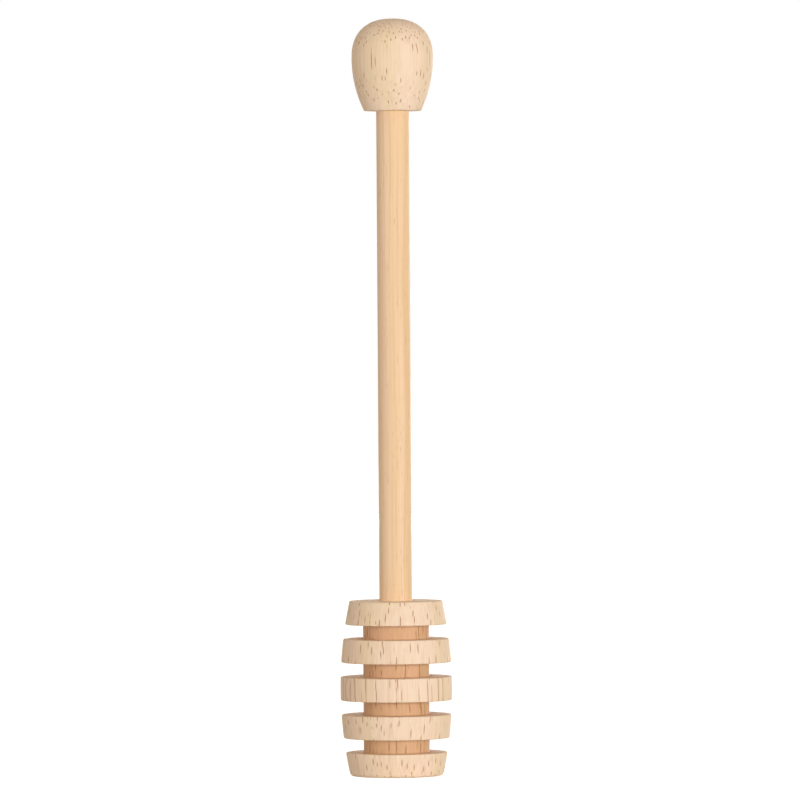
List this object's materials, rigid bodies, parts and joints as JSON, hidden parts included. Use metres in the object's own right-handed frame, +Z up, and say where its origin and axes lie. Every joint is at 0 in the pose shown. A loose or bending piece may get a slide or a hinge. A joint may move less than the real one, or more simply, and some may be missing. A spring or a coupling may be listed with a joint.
{
  "type": "honey dipper",
  "caption": "Turned wooden honey dipper with a grooved barrel head, a straight dowel handle and a round knob.",
  "frame": {"origin": "middle of the flat foot of the head, on the surface it stands on", "axes": "+Z up along the turning axis, from the head to the knob; the part is round, so X and Y are free"},
  "size_m": [0.0237, 0.0236, 0.16],
  "materials": {
    "turned_wood": "raw, sanded",
    "dowel_wood": "raw, sanded",
    "wood_glue": "dried, satin"
  },
  "bodies": {
    "root": {"head": "turned_wood", "handle": "dowel_wood", "knob": "turned_wood", "head_glue": "wood_glue", "knob_glue": "wood_glue"}
  },
  "joints": []
}
